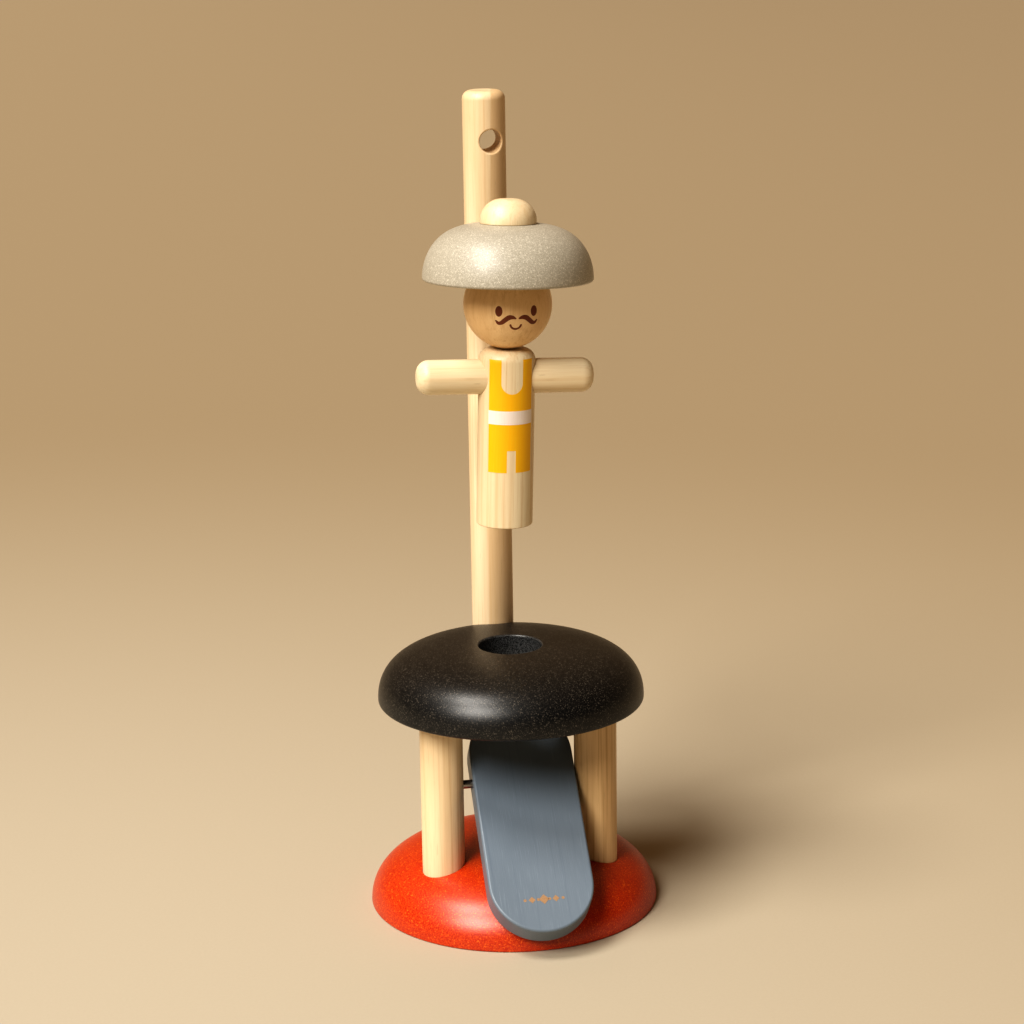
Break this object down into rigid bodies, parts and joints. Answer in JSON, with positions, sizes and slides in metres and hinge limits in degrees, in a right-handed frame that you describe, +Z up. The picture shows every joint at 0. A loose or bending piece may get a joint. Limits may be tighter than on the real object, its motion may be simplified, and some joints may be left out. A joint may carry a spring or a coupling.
{
  "type": "springboard seesaw toy",
  "caption": "Tabletop springboard toy: a seesaw lever on a steel axle under a drilled dome throws a wooden acrobat up past a tall pole.",
  "frame": {"origin": "centre of the base's underside, on the table straight under the dome's hole", "axes": "+Z up along the pole; the lever's long end points to -Y, the front; +X is to the right seen from the front"},
  "size_m": [0.1366, 0.1481, 0.3795],
  "materials": {
    "red_wood": "red-stained pressed wood, satin",
    "pale_wood": "sanded pale rubberwood dowel",
    "black_wood": "black-stained pressed wood, satin",
    "steel": "plain bright steel",
    "slate_wood": "slate-blue stained wood, satin",
    "figure_wood": "sanded pale wood with printed costume and face",
    "grey_wood": "warm grey speckled pressed wood, satin"
  },
  "bodies": {
    "stand": {"base": "red_wood", "leg_left": "pale_wood", "leg_right": "pale_wood", "pole": "pale_wood", "dome": "black_wood", "axle": "steel", "screw_leg_left": "steel", "screw_leg_right": "steel", "screw_pole": "steel"},
    "seesaw_lever": {"lever": "slate_wood"},
    "acrobat": {"acrobat_body": "figure_wood", "arm_left": "figure_wood", "arm_right": "figure_wood", "neck_dowel": "figure_wood", "head": "figure_wood", "hat": "grey_wood", "hat_knob": "figure_wood"}
  },
  "joints": [
    {"name": "lever_pivot", "type": "hinge", "parent": "stand", "child": "seesaw_lever", "pos_m": [0.0018, -0.01845, 0.0648], "axis": [-1, 0, 0], "range_deg": [0, 75]},
    {"name": "acrobat_flight", "type": "slide", "parent": "stand", "child": "acrobat", "axis": [-0.0174, 0, 0.9998], "range_m": [-0.092, 0.1]}
  ]
}
